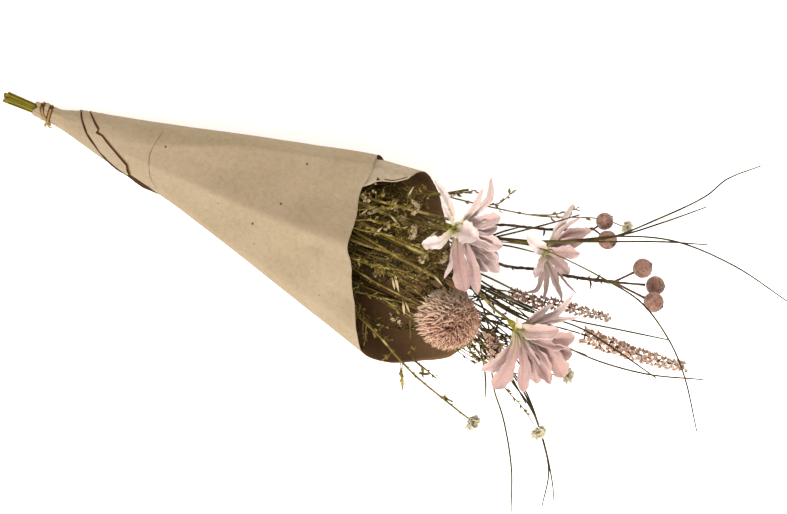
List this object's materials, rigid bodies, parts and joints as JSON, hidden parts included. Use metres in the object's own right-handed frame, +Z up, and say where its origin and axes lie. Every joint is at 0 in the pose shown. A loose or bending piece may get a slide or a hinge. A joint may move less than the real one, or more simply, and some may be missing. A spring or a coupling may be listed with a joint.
{
  "type": "mixed_flower_bouquet",
  "caption": "Mixed flower bouquet of pale pink lily-like blooms, a thistle head, berries, feathery sprays and grasses, tied with twine and rolled in a cone of kraft paper.",
  "frame": {"origin": "on the flat that the wrapper rests on, under the cone", "axes": "+X along the bouquet from the cut stems to the flowers, +Y to the side where the paper's inner layer shows, +Z up from the surface"},
  "size_m": [0.6411, 0.3324, 0.1061],
  "materials": {
    "kraft_paper": "speckled recycled kraft, matte",
    "twine": "twisted jute, fuzzy",
    "green_stem": "olive green, ribbed, satin",
    "pink_petal": "pale dusty pink petals, matte",
    "thistle": "dusty rose spikes, matte",
    "dark_branch": "dark brown, knobbly, matte",
    "berry": "frosted rose-brown, grainy",
    "spray": "salmon florets, matte",
    "grass": "dark olive blades, satin",
    "leaf": "olive leaves, matte",
    "cream_petal": "cream petals, matte",
    "white_petal": "greyish white florets, matte"
  },
  "bodies": {
    "root": {"paper_wrap": "kraft_paper", "twine_tie": "twine", "lily_stem_1": "green_stem", "lily_stem_2": "green_stem", "lily_stem_3": "green_stem", "thistle_stem": "green_stem", "cream_stem": "green_stem", "lily_bloom_1": "pink_petal", "lily_bloom_2": "pink_petal", "lily_bloom_3": "pink_petal", "thistle_head": "thistle", "berry_branch": "dark_branch", "astilbe_stem": "dark_branch", "berry_1": "berry", "berry_2": "berry", "berry_3": "berry", "berry_4": "berry", "berry_5": "berry", "astilbe_spray_1": "spray", "astilbe_spray_2": "spray", "astilbe_spray_3": "spray", "grass_tuft_1": "grass", "grass_tuft_2": "grass", "grass_tuft_3": "grass", "leafy_sprig_1": "leaf", "leafy_sprig_2": "leaf", "leafy_sprig_3": "leaf", "cream_flower_1": "cream_petal", "cream_flower_2": "cream_petal", "cream_flower_3": "cream_petal", "cream_flower_4": "cream_petal", "white_flower_1": "white_petal", "white_flower_2": "white_petal", "white_flower_3": "white_petal"}
  },
  "joints": []
}
